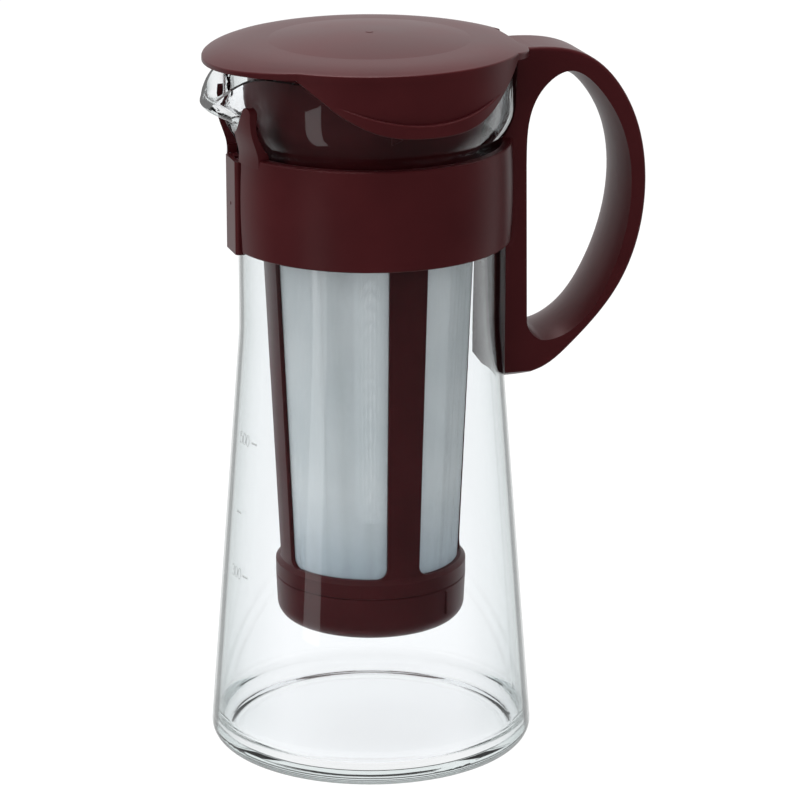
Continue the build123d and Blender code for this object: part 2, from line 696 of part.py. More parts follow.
def make_skirt():
    """Skirt outside the glass rim with a curved ledge for the finger, facing -Y."""
    bore = Pos(0, 0, LID_SEAT_Z) * Cylinder(RIM_R + SKIRT_FIT, FAR)
    drum = Pos(0, 0, LID_SEAT_Z) * Cylinder(LID_R - 0.1, FAR)
    skirt = extrude(Plane.XZ * skirt_outline(), amount=FAR) & drum
    # the ledge's own drum is narrower and set forward, so that it fades out at both ends
    end_y = math.sqrt(LID_R**2 - LIP_HALF**2)
    reach = LID_R + LIP_REACH
    forward = (reach**2 - LID_R**2) / (2 * (reach - end_y))
    lip_drum = Pos(0, -forward, LID_SEAT_Z) * Cylinder(reach - forward, FAR)
    lip = extrude(Plane.XZ * lip_outline(), amount=FAR) & lip_drum
    body = skirt + lip - bore
    ridge = [edge for edge in body.edges() if (edge @ 0.5).Y < -LID_R - LIP_ROUND]
    return fillet([edge for edge in ridge if edge.length > LIP_HALF], LIP_ROUND)


def make_lid():
    """Lid with beak, ears, two finger skirts and the ring that centres it in the cup."""
    body = make_lid_plate()
    skirt = make_skirt()
    body = body + Rot(0, 0, 90 - SKIRT_TURN) * skirt
    body = body + mirror(Rot(0, 0, 90 - SKIRT_TURN) * skirt, Plane.XZ)
    plug_r = CUP_R - CUP_WALL - PLUG_FIT
    plug_low = LID_SEAT_Z - PLUG_DEPTH
    plug = make_face(
        Polyline(
            (plug_r - PLUG_WALL, plug_low),
            (plug_r, plug_low),
            (plug_r, LID_SEAT_Z + 1.6),
            (plug_r - PLUG_WALL, LID_SEAT_Z + 1.6),
            close=True,
        )
    )
    return body + turned(plug)


# ---- write the pieces ------------------------------------------------------------------
pieces = {
    "glass_carafe": make_glass(),
    "handle_band": make_handle_band(),
    "band_clip": make_clip(),
    "lid": make_lid(),
    "strainer_frame": make_strainer_frame(),
    "strainer_cap": make_cap(),
}
for index, middle in enumerate(window_turns(), start=1):
    pieces[f"mesh_panel_{index}"] = make_cloth(middle)

for name, piece in pieces.items():
    piece.label = name
    export_step(piece, f"parts/{name}.step")
    print(name, "solids", len(piece.solids()), "volume", round(piece.volume))
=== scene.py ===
import json
import logging
import math
from dataclasses import dataclass
from enum import Enum

import bmesh
import bpy
from mathutils import Matrix, Vector

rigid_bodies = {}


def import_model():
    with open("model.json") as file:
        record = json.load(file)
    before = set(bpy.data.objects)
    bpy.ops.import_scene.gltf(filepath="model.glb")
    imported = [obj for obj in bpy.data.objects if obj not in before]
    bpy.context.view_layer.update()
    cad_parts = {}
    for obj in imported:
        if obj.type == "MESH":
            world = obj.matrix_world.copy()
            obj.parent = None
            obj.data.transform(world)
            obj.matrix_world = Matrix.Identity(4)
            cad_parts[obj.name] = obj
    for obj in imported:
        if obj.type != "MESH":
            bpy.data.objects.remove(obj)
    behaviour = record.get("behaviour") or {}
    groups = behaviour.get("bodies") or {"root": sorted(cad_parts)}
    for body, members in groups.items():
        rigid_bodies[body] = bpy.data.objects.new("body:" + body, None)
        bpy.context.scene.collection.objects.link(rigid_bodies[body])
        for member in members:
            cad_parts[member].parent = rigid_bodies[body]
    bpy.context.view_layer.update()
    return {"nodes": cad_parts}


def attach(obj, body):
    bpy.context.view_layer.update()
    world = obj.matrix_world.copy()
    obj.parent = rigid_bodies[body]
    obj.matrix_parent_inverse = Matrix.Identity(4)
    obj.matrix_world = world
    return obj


log = logging.getLogger("cold_brew_pot")

Colour = tuple[float, float, float, float]
Spot = tuple[float, float, float]
Solids = dict[str, bpy.types.Object]


class SlotName(Enum):
    """Material slots of the record."""

    GLASS = "glass"
    PLASTIC = "plastic"
    MESH = "mesh"


class BodyName(Enum):
    """Rigid bodies that pieces ride on."""

    POT = "pot"
    CLIP = "clip"
    STRAINER = "strainer"
    CAP = "cap"
    LID = "lid"


class MixKind(Enum):
    """Data types of a Mix node, with the places of its two inputs and of its output."""

    FLOAT = (2, 3, 0)
    RGBA = (6, 7, 2)


def srgb(red: int, green: int, blue: int) -> Colour:
    """Turns a display colour into the linear colour that shaders take.

    Args:
        red: Red from 0 to 255.
        green: Green from 0 to 255.
        blue: Blue from 0 to 255.

    Returns:
        The linear colour with full alpha.
    """

    def linear(value: int) -> float:
        """Linear value of one channel."""
        share = value / 255
        return share / 12.92 if share <= 0.04045 else ((share + 0.055) / 1.055) ** 2.4

    return (linear(red), linear(green), linear(blue), 1.0)


# ---- shared shader groups ------------------------------------------------------------------
class NodeSheet:
    """Short calls for building a node tree."""

    def __init__(self, tree: bpy.types.NodeTree) -> None:
        """Starts on a tree.

        Args:
            tree: The tree that gets the nodes.
        """
        self.tree = tree
        self.column = 0

    def add(self, kind: str, **values: object) -> bpy.types.Node:
        """Adds a node and sets its properties.

        Args:
            kind: The node's type name.
            **values: Properties of the node.

        Returns:
            The new node.
        """
        node = self.tree.nodes.new(kind)
        node.location = (self.column * 180, 0)
        self.column += 1
        for name, value in values.items():
            setattr(node, name, value)
        return node

    def join(self, out: bpy.types.NodeSocket, into: bpy.types.NodeSocket) -> None:
        """Links an output to an input."""
        self.tree.links.new(out, into)

    def feed(self, value: object, into: bpy.types.NodeSocket) -> None:
        """Links an input to an output, or gives it a plain value."""
        if isinstance(value, bpy.types.NodeSocket):
            self.join(value, into)
        else:
            into.default_value = value

    def math(self, operation: str, *values: object) -> bpy.types.NodeSocket:
        """Adds a Math node.

        Args:
            operation: The operation's name.
            *values: What it works on, each a socket or a number.

        Returns:
            The node's output.
        """
        node = self.add("ShaderNodeMath", operation=operation)
        for value, into in zip(values, node.inputs):
            self.feed(value, into)
        return node.outputs[0]

    def mix(
        self, kind: MixKind, share: object, first: object, second: object, blend_type: str = "MIX"
    ) -> bpy.types.NodeSocket:
        """Adds a Mix node.

        Args:
            kind: Whether it mixes numbers or colours.
            share: How much of the second is in the mix.
            first: A socket, a number or a colour.
            second: A socket, a number or a colour.
            blend_type: How two colours blend.

        Returns:
            The node's output.
        """
        node = self.add("ShaderNodeMix", data_type=kind.name, blend_type=blend_type)
        first_at, second_at, out_at = kind.value
        self.feed(share, node.inputs[0])
        self.feed(first, node.inputs[first_at])
        self.feed(second, node.inputs[second_at])
        return node.outputs[out_at]

    def mix_shaders(
        self,
        share: bpy.types.NodeSocket,
        first: bpy.types.NodeSocket,
        second: bpy.types.NodeSocket,
    ) -> bpy.types.NodeSocket:
        """Adds a Mix Shader node.

        Args:
            share: How much of the second is in the mix.
            first: A shader's output.
            second: A shader's output.

        Returns:
            The node's output.
        """
        node = self.add("ShaderNodeMixShader")
        for value, into in zip((share, first, second), node.inputs):
            self.join(value, into)
        return node.outputs[0]

    def noise(self, scale: object, detail: float, roughness: float = 0.5) -> bpy.types.NodeSocket:
        """Adds a noise that is fixed to the piece.

        Args:
            scale: Its fineness, a socket or a number.
            detail: Number of finer layers.
            roughness: How strong the finer layers are.

        Returns:
            An output from 0 to 1.
        """
        place = self.add("ShaderNodeTexCoord")
        node = self.add("ShaderNodeTexNoise", noise_dimensions="3D")
        self.join(place.outputs["Object"], node.inputs["Vector"])
        self.feed(scale, node.inputs["Scale"])
        node.inputs["Detail"].default_value = detail
        node.inputs["Roughness"].default_value = roughness
        return node.outputs["Fac"]

    def add_ramp(
        self, positions: tuple[float, ...], colours: tuple[Colour, ...]
    ) -> bpy.types.Node:
        """Adds a colour ramp.

        Args:
            positions: Positions of its stops, rising.
            colours: Their colours.

        Returns:
            The node.
        """
        node = self.add("ShaderNodeValToRGB")
        stops = node.color_ramp.elements
        for position in positions[1:-1]:
            stops.new(position)
        for stop, position, colour in zip(stops, positions, colours):
            stop.position = position
            stop.color = colour
        return node

    def fade(
        self, value: bpy.types.NodeSocket, span: tuple[float, float], level: float
    ) -> bpy.types.NodeSocket:
        """Fades a level out smoothly.

        Args:
            value: What it depends on.
            span: The values where it starts to fade and where it is gone.
            level: The level before the fade.

        Returns:
            An output that falls from the level to 0.
        """
        node = self.add("ShaderNodeMapRange", interpolation_type="SMOOTHSTEP")
        for name, given in zip(("From Min", "From Max", "To Min", "To Max"), (*span, level, 0.0)):
            node.inputs[name].default_value = given
        self.join(value, node.inputs["Value"])
        return node.outputs["Result"]


class MouldGrain:
    """Fine spark-eroded grain of injection-moulded plastic, with faint flow marks."""

    NAME = "mould_grain"
    INPUTS = {"Grain Scale": 2600.0, "Base Roughness": 0.4, "Roughness Spread": 0.05}
    GRAIN_DETAIL = 3.0
    GRAIN_ROUGHNESS = 0.6
    CLOUD_SCALE = 38.0
    CLOUD_DETAIL = 4.0

    @classmethod
    def build(cls) -> bpy.types.NodeTree:
        """Builds the group once.

        Returns:
            The group, with a grain height, a tone mask and a roughness value.
        """
        found = bpy.data.node_groups.get(cls.NAME)
        if found:
            return found
        group = bpy.data.node_groups.new(cls.NAME, "ShaderNodeTree")
        sides = group.interface
        for name, value in cls.INPUTS.items():
            socket = sides.new_socket(name, in_out="INPUT", socket_type="NodeSocketFloat")
            socket.default_value = value
        for name in ("Height", "Tone", "Roughness"):
            sides.new_socket(name, in_out="OUTPUT", socket_type="NodeSocketFloat")
        sheet = NodeSheet(group)
        given = sheet.add("NodeGroupInput")
        grain = sheet.noise(given.outputs["Grain Scale"], cls.GRAIN_DETAIL, cls.GRAIN_ROUGHNESS)
        clouds = sheet.noise(cls.CLOUD_SCALE, cls.CLOUD_DETAIL)
        centred = sheet.math("SUBTRACT", clouds, 0.5)
        swing = sheet.math("MULTIPLY", centred, given.outputs["Roughness Spread"])
        rough = sheet.math("ADD", given.outputs["Base Roughness"], swing)
        done = sheet.add("NodeGroupOutput")
        sheet.join(grain, done.inputs["Height"])
        sheet.join(clouds, done.inputs["Tone"])
        sheet.join(rough, done.inputs["Roughness"])
        return group


class FineWeave:
    """Plain weave of strainer cloth, wound round the strainer's axis."""

    NAME = "fine_weave"
    INPUTS = {"Thread Pairs Around": 680.0, "Weft Phase per Metre": 25133.0}
    PORE_LIMIT = 0.82
    CLOUD_SCALE = 26.0
    CLOUD_DETAIL = 3.0

    @classmethod
    def build(cls) -> bpy.types.NodeTree:
        """Builds the group once.

        Returns:
            The group, with a thread height, an open-pore mask and a tone mask.
        """
        found = bpy.data.node_groups.get(cls.NAME)
        if found:
            return found
        group = bpy.data.node_groups.new(cls.NAME, "ShaderNodeTree")
        sides = group.interface
        for name, value in cls.INPUTS.items():
            socket = sides.new_socket(name, in_out="INPUT", socket_type="NodeSocketFloat")
            socket.default_value = value
        for name in ("Height", "Pores", "Tone"):
            sides.new_socket(name, in_out="OUTPUT", socket_type="NodeSocketFloat")
        sheet = NodeSheet(group)
        given = sheet.add("NodeGroupInput")
        place = sheet.add("ShaderNodeTexCoord")
        parts = sheet.add("ShaderNodeSeparateXYZ")
        sheet.join(place.outputs["Object"], parts.inputs[0])
        turn = sheet.math("ARCTAN2", parts.outputs["Y"], parts.outputs["X"])
        run = sheet.math("MULTIPLY", turn, given.outputs["Thread Pairs Around"])
        rise = sheet.math("MULTIPLY", parts.outputs["Z"], given.outputs["Weft Phase per Metre"])
        warp, weft = sheet.math("SINE", run), sheet.math("SINE", rise)
        height = sheet.math("MULTIPLY_ADD", sheet.math("MULTIPLY", warp, weft), 0.5, 0.5)
        lattice = sheet.math("MAXIMUM", sheet.math("ABSOLUTE", warp), sheet.math("ABSOLUTE", weft))
        pores = sheet.math("LESS_THAN", lattice, cls.PORE_LIMIT)
        clouds = sheet.noise(cls.CLOUD_SCALE, cls.CLOUD_DETAIL)
        done = sheet.add("NodeGroupOutput")
        sheet.join(height, done.inputs["Height"])
        sheet.join(pores, done.inputs["Pores"])
        sheet.join(clouds, done.inputs["Tone"])
        return group


# ---- finishes ------------------------------------------------------------------------------
def fresh_material(name: str) -> tuple[bpy.types.Material, NodeSheet, bpy.types.Node]:
    """Starts a node material with a Principled shader.

    Args:
        name: The material's name.

    Returns:
        The material, its node sheet and the shader.
    """
    material = bpy.data.materials.new(name)
    material.use_nodes = True
    tree = material.node_tree
    shader = next(node for node in tree.nodes if node.type == "BSDF_PRINCIPLED")
    return material, NodeSheet(tree), shader


@dataclass(frozen=True)
class SatinPlastic:
    """Dark maroon-brown injection-moulded polypropylene.

    Attributes:
        name: Material name.
        deep: Colour in the darker clouds.
        light: Colour in the lighter clouds.
        clouds: Noise levels at which the two colours stand pure.
        roughness: Middle roughness.
        roughness_spread: How much the roughness swings.
        index: Refractive index.
        gloss: Specular level.
        bump: Depth of the grain in metres.
        bump_strength: Strength of the grain.
        grain_scale: Fineness of the grain.
        sheen_tint: Warm cast that reflections take from the pigment under the skin.
    """

    name: str = "maroon_plastic"
    deep: Colour = srgb(52, 14, 17)
    light: Colour = srgb(59, 17, 20)
    clouds: tuple[float, float] = (0.35, 0.65)
    roughness: float = 0.36
    roughness_spread: float = 0.08
    index: float = 1.49
    gloss: float = 0.22
    bump: float = 0.000008
    bump_strength: float = 0.3
    grain_scale: float = 2600.0
    sheen_tint: Colour = (1.0, 0.66, 0.66, 1.0)

    def make(self) -> bpy.types.Material:
        """Builds the material.

        Returns:
            The finished material.
        """
        material, sheet, shader = fresh_material(self.name)
        grain = sheet.add("ShaderNodeGroup", node_tree=MouldGrain.build())
        grain.inputs["Grain Scale"].default_value = self.grain_scale
        grain.inputs["Base Roughness"].default_value = self.roughness
        grain.inputs["Roughness Spread"].default_value = self.roughness_spread
        ramp = sheet.add_ramp(self.clouds, (self.deep, self.light))
        bump = sheet.add("ShaderNodeBump")
        bump.inputs["Strength"].default_value = self.bump_strength
        bump.inputs["Distance"].default_value = self.bump
        sheet.join(grain.outputs["Tone"], ramp.inputs["Fac"])
        sheet.join(ramp.outputs["Color"], shader.inputs["Base Color"])
        sheet.join(grain.outputs["Roughness"], shader.inputs["Roughness"])
        sheet.join(grain.outputs["Height"], bump.inputs["Height"])
        sheet.join(bump.outputs["Normal"], shader.inputs["Normal"])
        shader.inputs["IOR"].default_value = self.index
        shader.inputs["Specular IOR Level"].default_value = self.gloss
        shader.inputs["Specular Tint"].default_value = self.sheen_tint
        return material


@dataclass(frozen=True)
class ClearGlass:
    """Clear borosilicate glass with a faint cool tint.

    Attributes:
        name: Material name.
        index: Refractive index.
        tint: Colour that the thickness takes.
        density: Strength of that tint per metre.
        body: Faint tint of each wall.
        shade: How much light one wall surface lets through into its shadow.
        edge_shade_tint: Green cast of the glass's own thickness, mixed into the painted shade at
            the edges.
        painted_edge_shades: Painted shade that darkens the wall towards grazing sight, as turn of
            the surface and share.
    """

    name: str = "clear_glass"
    index: float = 1.47
    tint: Colour = (0.12, 0.34, 0.30, 1.0)
    density: float = 3.0
    body: Colour = (0.978, 0.989, 1.0, 1.0)
    shade: Colour = (0.97, 0.98, 0.98, 1.0)
    edge_shade_tint: Colour = (0.80, 1.0, 0.98, 1.0)
    painted_edge_shades: tuple[tuple[float, float], ...] = (
        (0.20, 1.0), (0.42, 0.84), (0.60, 0.58), (0.72, 0.42),
        (0.755, 0.04), (0.84, 0.03), (0.88, 0.34), (0.97, 0.28),
    )

    def painted_edge_shade(self, share: float) -> Colour:
        """Colour of the painted edge shade where the wall lets through a share of the light.

        Args:
            share: The share, 1 for the clear wall.

        Returns:
            The colour.
        """
        tones = [
            tone * (share + (1.0 - share) * share * (edge - 1.0))
            for tone, edge in zip(self.body[:3], self.edge_shade_tint[:3])
        ]
        return (*tones, 1.0)

    def make(self) -> bpy.types.Material:
        """Builds the material.

        Returns:
            The finished material.
        """
        material, sheet, shader = fresh_material(self.name)
        # painted shade: in the camera's sight the wall is darkened towards its edges, with a green
        # cast of its thickness
        turn = sheet.add("ShaderNodeLayerWeight")
        turn.inputs["Blend"].default_value = 0.5
        positions, shares = zip(*self.painted_edge_shades)
        ramp = sheet.add_ramp(positions, tuple(map(self.painted_edge_shade, shares)))
        path = sheet.add("ShaderNodeLightPath")
        near = sheet.math("MULTIPLY", turn.outputs["Facing"], path.outputs["Is Camera Ray"])
        sheet.join(near, ramp.inputs["Fac"])
        sheet.join(ramp.outputs["Color"], shader.inputs["Base Color"])
        shader.inputs["Roughness"].default_value = 0.0
        shader.inputs["IOR"].default_value = self.index
        shader.inputs["Transmission Weight"].default_value = 1.0
        # light falls through the wall onto what hangs inside
        let_through = sheet.add("ShaderNodeBsdfTransparent")
        let_through.inputs["Color"].default_value = self.shade
        in_shadow = path.outputs["Is Shadow Ray"]
        surface = sheet.mix_shaders(in_shadow, shader.outputs[0], let_through.outputs[0])
        inside = sheet.add("ShaderNodeVolumeAbsorption")
        inside.inputs["Color"].default_value = self.tint
        inside.inputs["Density"].default_value = self.density
        out = next(node for node in sheet.tree.nodes if node.type == "OUTPUT_MATERIAL")
        sheet.join(surface, out.inputs["Surface"])
        sheet.join(inside.outputs[0], out.inputs["Volume"])
        return material


@dataclass(frozen=True)
class StrainerCloth:
    """Pale grey polyester strainer cloth.

    Attributes:
        name: Material name.
        shade: Colour in the darker clouds.
        pale: Colour in the lighter clouds.
        clouds: Noise levels at which the two colours stand pure.
        foot: Painted shade that darkens the cloth near the strainer's foot.
        foot_shade_z: Heights between which that painted shade fades.
        thread_cover: How much the threads hide of what lies behind.
        pore_cover: The same for the pores.
        bump: Height of the threads in metres.
        bump_strength: Strength of the weave.
        roughness: Roughness of the threads.
        sheen: Soft sheen of the threads.
    """

    name: str = "strainer_cloth"
    shade: Colour = srgb(208, 217, 220)
    pale: Colour = srgb(230, 236, 238)
    clouds: tuple[float, float] = (0.3, 0.7)
    foot: Colour = (0.62, 0.69, 0.76, 1.0)
    foot_shade_z: tuple[float, float] = (0.045, 0.085)
    thread_cover: float = 0.8
    pore_cover: float = 0.18
    bump: float = 0.0001
    bump_strength: float = 0.35
    roughness: float = 0.75
    sheen: float = 0.15

    def make(self) -> bpy.types.Material:
        """Builds the material.

        Returns:
            The finished material.
        """
        material, sheet, shader = fresh_material(self.name)
        weave = sheet.add("ShaderNodeGroup", node_tree=FineWeave.build())
        ramp = sheet.add_ramp(self.clouds, (self.shade, self.pale))
        opened = self.pore_cover - self.thread_cover
        cover = sheet.math("MULTIPLY_ADD", weave.outputs["Pores"], opened, self.thread_cover)
        bump = sheet.add("ShaderNodeBump")
        bump.inputs["Strength"].default_value = self.bump_strength
        bump.inputs["Distance"].default_value = self.bump
        sheet.join(weave.outputs["Tone"], ramp.inputs["Fac"])
        # painted shade: the cloth is darkened towards the strainer's foot, where it would lie in
        # shade
        place = sheet.add("ShaderNodeTexCoord")
        parts = sheet.add("ShaderNodeSeparateXYZ")
        sheet.join(place.outputs["Object"], parts.inputs[0])
        foot_shade_share = sheet.fade(parts.outputs["Z"], self.foot_shade_z, 1.0)
        cloth = sheet.mix(MixKind.RGBA, foot_shade_share, ramp.outputs["Color"], self.foot, "MULTIPLY")
        sheet.join(cloth, shader.inputs["Base Color"])
        sheet.join(cover, shader.inputs["Alpha"])
        sheet.join(weave.outputs["Height"], bump.inputs["Height"])
        sheet.join(bump.outputs["Normal"], shader.inputs["Normal"])
        shader.inputs["Roughness"].default_value = self.roughness
        shader.inputs["Sheen Weight"].default_value = self.sheen
        return material


@dataclass(frozen=True)
class ScalePrint:
    """Pale grey ceramic print fired on the glass.

    Attributes:
        name: Material name.
        colour: Colour of the print.
        speck_share: Brightness of its darker specks.
        speck_scale: Fineness of the specks.
        speck_detail: Number of finer layers of specks.
        roughness: Roughness of the print.
    """

    name: str = "scale_print"
    colour: Colour = srgb(168, 172, 172)
    speck_share: float = 0.85
    speck_scale: float = 1500.0
    speck_detail: float = 2.0
    roughness: float = 0.6

    def make(self) -> bpy.types.Material:
        """Builds the material.

        Returns:
            The finished material.
        """
        material, sheet, shader = fresh_material(self.name)
        specks = sheet.noise(self.speck_scale, self.speck_detail)
        dark = (*(self.speck_share * tone for tone in self.colour[:3]), 1.0)
        ramp = sheet.add_ramp((0.0, 1.0), (dark, self.colour))
        sheet.join(specks, ramp.inputs["Fac"])
        sheet.join(ramp.outputs["Color"], shader.inputs["Base Color"])
        shader.inputs["Roughness"].default_value = self.roughness
        return material


# ---- pieces --------------------------------------------------------------------------------
# a small raised mark: where its bevel starts, how wide its top is, how deep it sits in the lid
MARK_BEVEL_LIFT = 0.6
MARK_TOP_SHARE = 0.88
MARK_SINK = 0.00002
# a mark that faces up or down more than this takes the Y axis as its reference
MARK_FLAT_FROM = 0.9


def dress(solids: Solids, names: tuple[str, ...], material: bpy.types.Material) -> None:
    """Gives modelled solids their finish.

    Args:
        solids: The modelled solids by name.
        names: The ones to dress.
        material: The finish.
    """
    for name in names:
        for slot in solids[name].material_slots:
            slot.material = material
        log.info("%s wears %s", name, material.name)


def place_piece(
    name: str, mesh: bpy.types.Mesh, body: BodyName
) -> bpy.types.Object:
    """Puts a finished mesh into the scene and lets it ride on a body.

    Args:
        name: Piece name.
        mesh: Its mesh, in place and with its finish.
        body: The body that carries the piece.

    Returns:
        The new object.
    """
    mesh.name = name
    piece = bpy.data.objects.new(name, mesh)
    bpy.context.scene.collection.objects.link(piece)
    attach(piece, body.value)
    log.info("%s has %d faces", name, len(mesh.polygons))
    return piece


def raised_mark(
    name: str,
    outline: list[tuple[float, float]],
    centre: Vector,
    facing: Vector,
    height: float,
    material: bpy.types.Material,
) -> bpy.types.Mesh:
    """Makes a small flat mark with bevelled edges.

    Args:
        name: Name of the mesh.
        outline: Corners in the mark's plane, anticlockwise, with the second axis upwards.
        centre: Middle of the mark's foot.
        facing: Direction that it faces.
        height: How far it stands up.
        material: Its finish.

    Returns:
        The closed mesh.
    """
    facing = facing.normalized()
    lies_flat = abs(facing.z) > MARK_FLAT_FROM
    reference = Vector((0, 1, 0)) if lies_flat else Vector((0, 0, 1))
    side = reference.cross(facing).normalized()
    upwards = facing.cross(side)
    build = bmesh.new()
    rings = []
    for lift, share in ((-height, 1.0), (MARK_BEVEL_LIFT * height, 1.0), (height, MARK_TOP_SHARE)):
        ring = [
            build.verts.new(centre + share * (u * side + v * upwards) + lift * facing)
            for u, v in outline
        ]
        rings.append(ring)
    build.faces.new(list(reversed(rings[0])))
    build.faces.new(rings[-1])
    for low, high in zip(rings, rings[1:]):
        for k in range(len(outline)):
            n = (k + 1) % len(outline)
            build.faces.new((low[k], low[n], high[n], high[k]))
    mesh = bpy.data.meshes.new(name)
    build.to_mesh(mesh)
    build.free()
    mesh.materials.append(material)
    return mesh


def disc_outline(radius: float, steps: int = 20) -> list[tuple[float, float]]:
    """Corners of a round mark."""
    turns = [2 * math.pi * k / steps for k in range(steps)]
    return [(radius * math.cos(turn), radius * math.sin(turn)) for turn in turns]


class PrintedLine:
    """Geometry Nodes tree that prints flat strokes round the cone of the jug."""

    NAME = "printed_line"
    NUMBERS = (
        "Stroke Width", "Ink Depth", "Step", "Cone Radius", "Cone Slope", "Start Turn", "Lift",
    )

    @classmethod
    def build(cls) -> bpy.types.NodeTree:
        """Builds the tree once.

        Returns:
            The tree. Its strokes come flat: X runs round the glass and Y is the height.
        """
        found = bpy.data.node_groups.get(cls.NAME)
        if found:
            return found
        group = bpy.data.node_groups.new(cls.NAME, "GeometryNodeTree")
        sides = group.interface
        sides.new_socket("Strokes", in_out="INPUT", socket_type="NodeSocketGeometry")
        for name in cls.NUMBERS:
            sides.new_socket(name, in_out="INPUT", socket_type="NodeSocketFloat")
        sides.new_socket("Ink", in_out="INPUT", socket_type="NodeSocketMaterial")
        sides.new_socket("Print", in_out="OUTPUT", socket_type="NodeSocketGeometry")
        sheet = NodeSheet(group)
        given = sheet.add("NodeGroupInput")
        even = sheet.add("GeometryNodeResampleCurve", mode="LENGTH")
        sheet.join(given.outputs["Strokes"], even.inputs["Curve"])
        sheet.join(given.outputs["Step"], even.inputs["Length"])
        nib = sheet.add("GeometryNodeCurvePrimitiveQuadrilateral")
        sheet.join(given.outputs["Stroke Width"], nib.inputs["Width"])
        sheet.join(given.outputs["Ink Depth"], nib.inputs["Height"])
        body = sheet.add("GeometryNodeCurveToMesh")
        body.inputs["Fill Caps"].default_value = True
        sheet.join(even.outputs["Curve"], body.inputs["Curve"])
        sheet.join(nib.outputs["Curve"], body.inputs["Profile Curve"])
        place = sheet.add("GeometryNodeInputPosition")
        flat = sheet.add("ShaderNodeSeparateXYZ")
        sheet.join(place.outputs[0], flat.inputs[0])
        narrowing = sheet.math("MULTIPLY", flat.outputs["Y"], given.outputs["Cone Slope"])
        wall = sheet.math("SUBTRACT", given.outputs["Cone Radius"], narrowing)
        out_by = sheet.math("ADD", flat.outputs["Z"], given.outputs["Lift"])
        radius = sheet.math("ADD", wall, out_by)
        turned = sheet.math("DIVIDE", flat.outputs["X"], wall)
        angle = sheet.math("ADD", given.outputs["Start Turn"], turned)
        on_cone = sheet.add("ShaderNodeCombineXYZ")
        for axis, wave in (("X", "COSINE"), ("Y", "SINE")):
            along = sheet.math("MULTIPLY", sheet.math(wave, angle), radius)
            sheet.join(along, on_cone.inputs[axis])
        sheet.join(flat.outputs["Y"], on_cone.inputs["Z"])
        wrap = sheet.add("GeometryNodeSetPosition")
        sheet.join(body.outputs["Mesh"], wrap.inputs["Geometry"])
        sheet.join(on_cone.outputs[0], wrap.inputs["Position"])
        real = sheet.add("GeometryNodeRealizeInstances")
        sheet.join(wrap.outputs["Geometry"], real.inputs["Geometry"])
        inked = sheet.add("GeometryNodeSetMaterial")
        sheet.join(real.outputs["Geometry"], inked.inputs["Geometry"])
        sheet.join(given.outputs["Ink"], inked.inputs["Material"])
        done = sheet.add("NodeGroupOutput")
        sheet.join(inked.outputs["Geometry"], done.inputs["Print"])
        return group


# control points of each digit, as shares of its width and height; a point given twice pulls
# the line into a corner
DIGIT_STROKES: dict[str, tuple[tuple[float, float], ...]] = {
    "0": ((0.25, 0), (0.75, 0), (1, 0.3), (1, 0.7), (0.75, 1), (0.25, 1), (0, 0.7), (0, 0.3)),
    "3": ((0.04, 0.86), (0.3, 1.02), (0.9, 1.02), (1, 0.72), (0.8, 0.53), (0.4, 0.53), (0.4, 0.53),
          (0.9, 0.52), (1.06, 0.26), (0.92, 0), (0.3, -0.04), (0, 0.13)),
    "5": ((0.92, 1), (0.14, 1), (0.14, 1), (0.07, 0.5), (0.07, 0.5), (0.45, 0.68), (1.02, 0.6),
          (1.04, 0.22), (0.9, 0), (0.35, -0.04), (0, 0.1)),
}


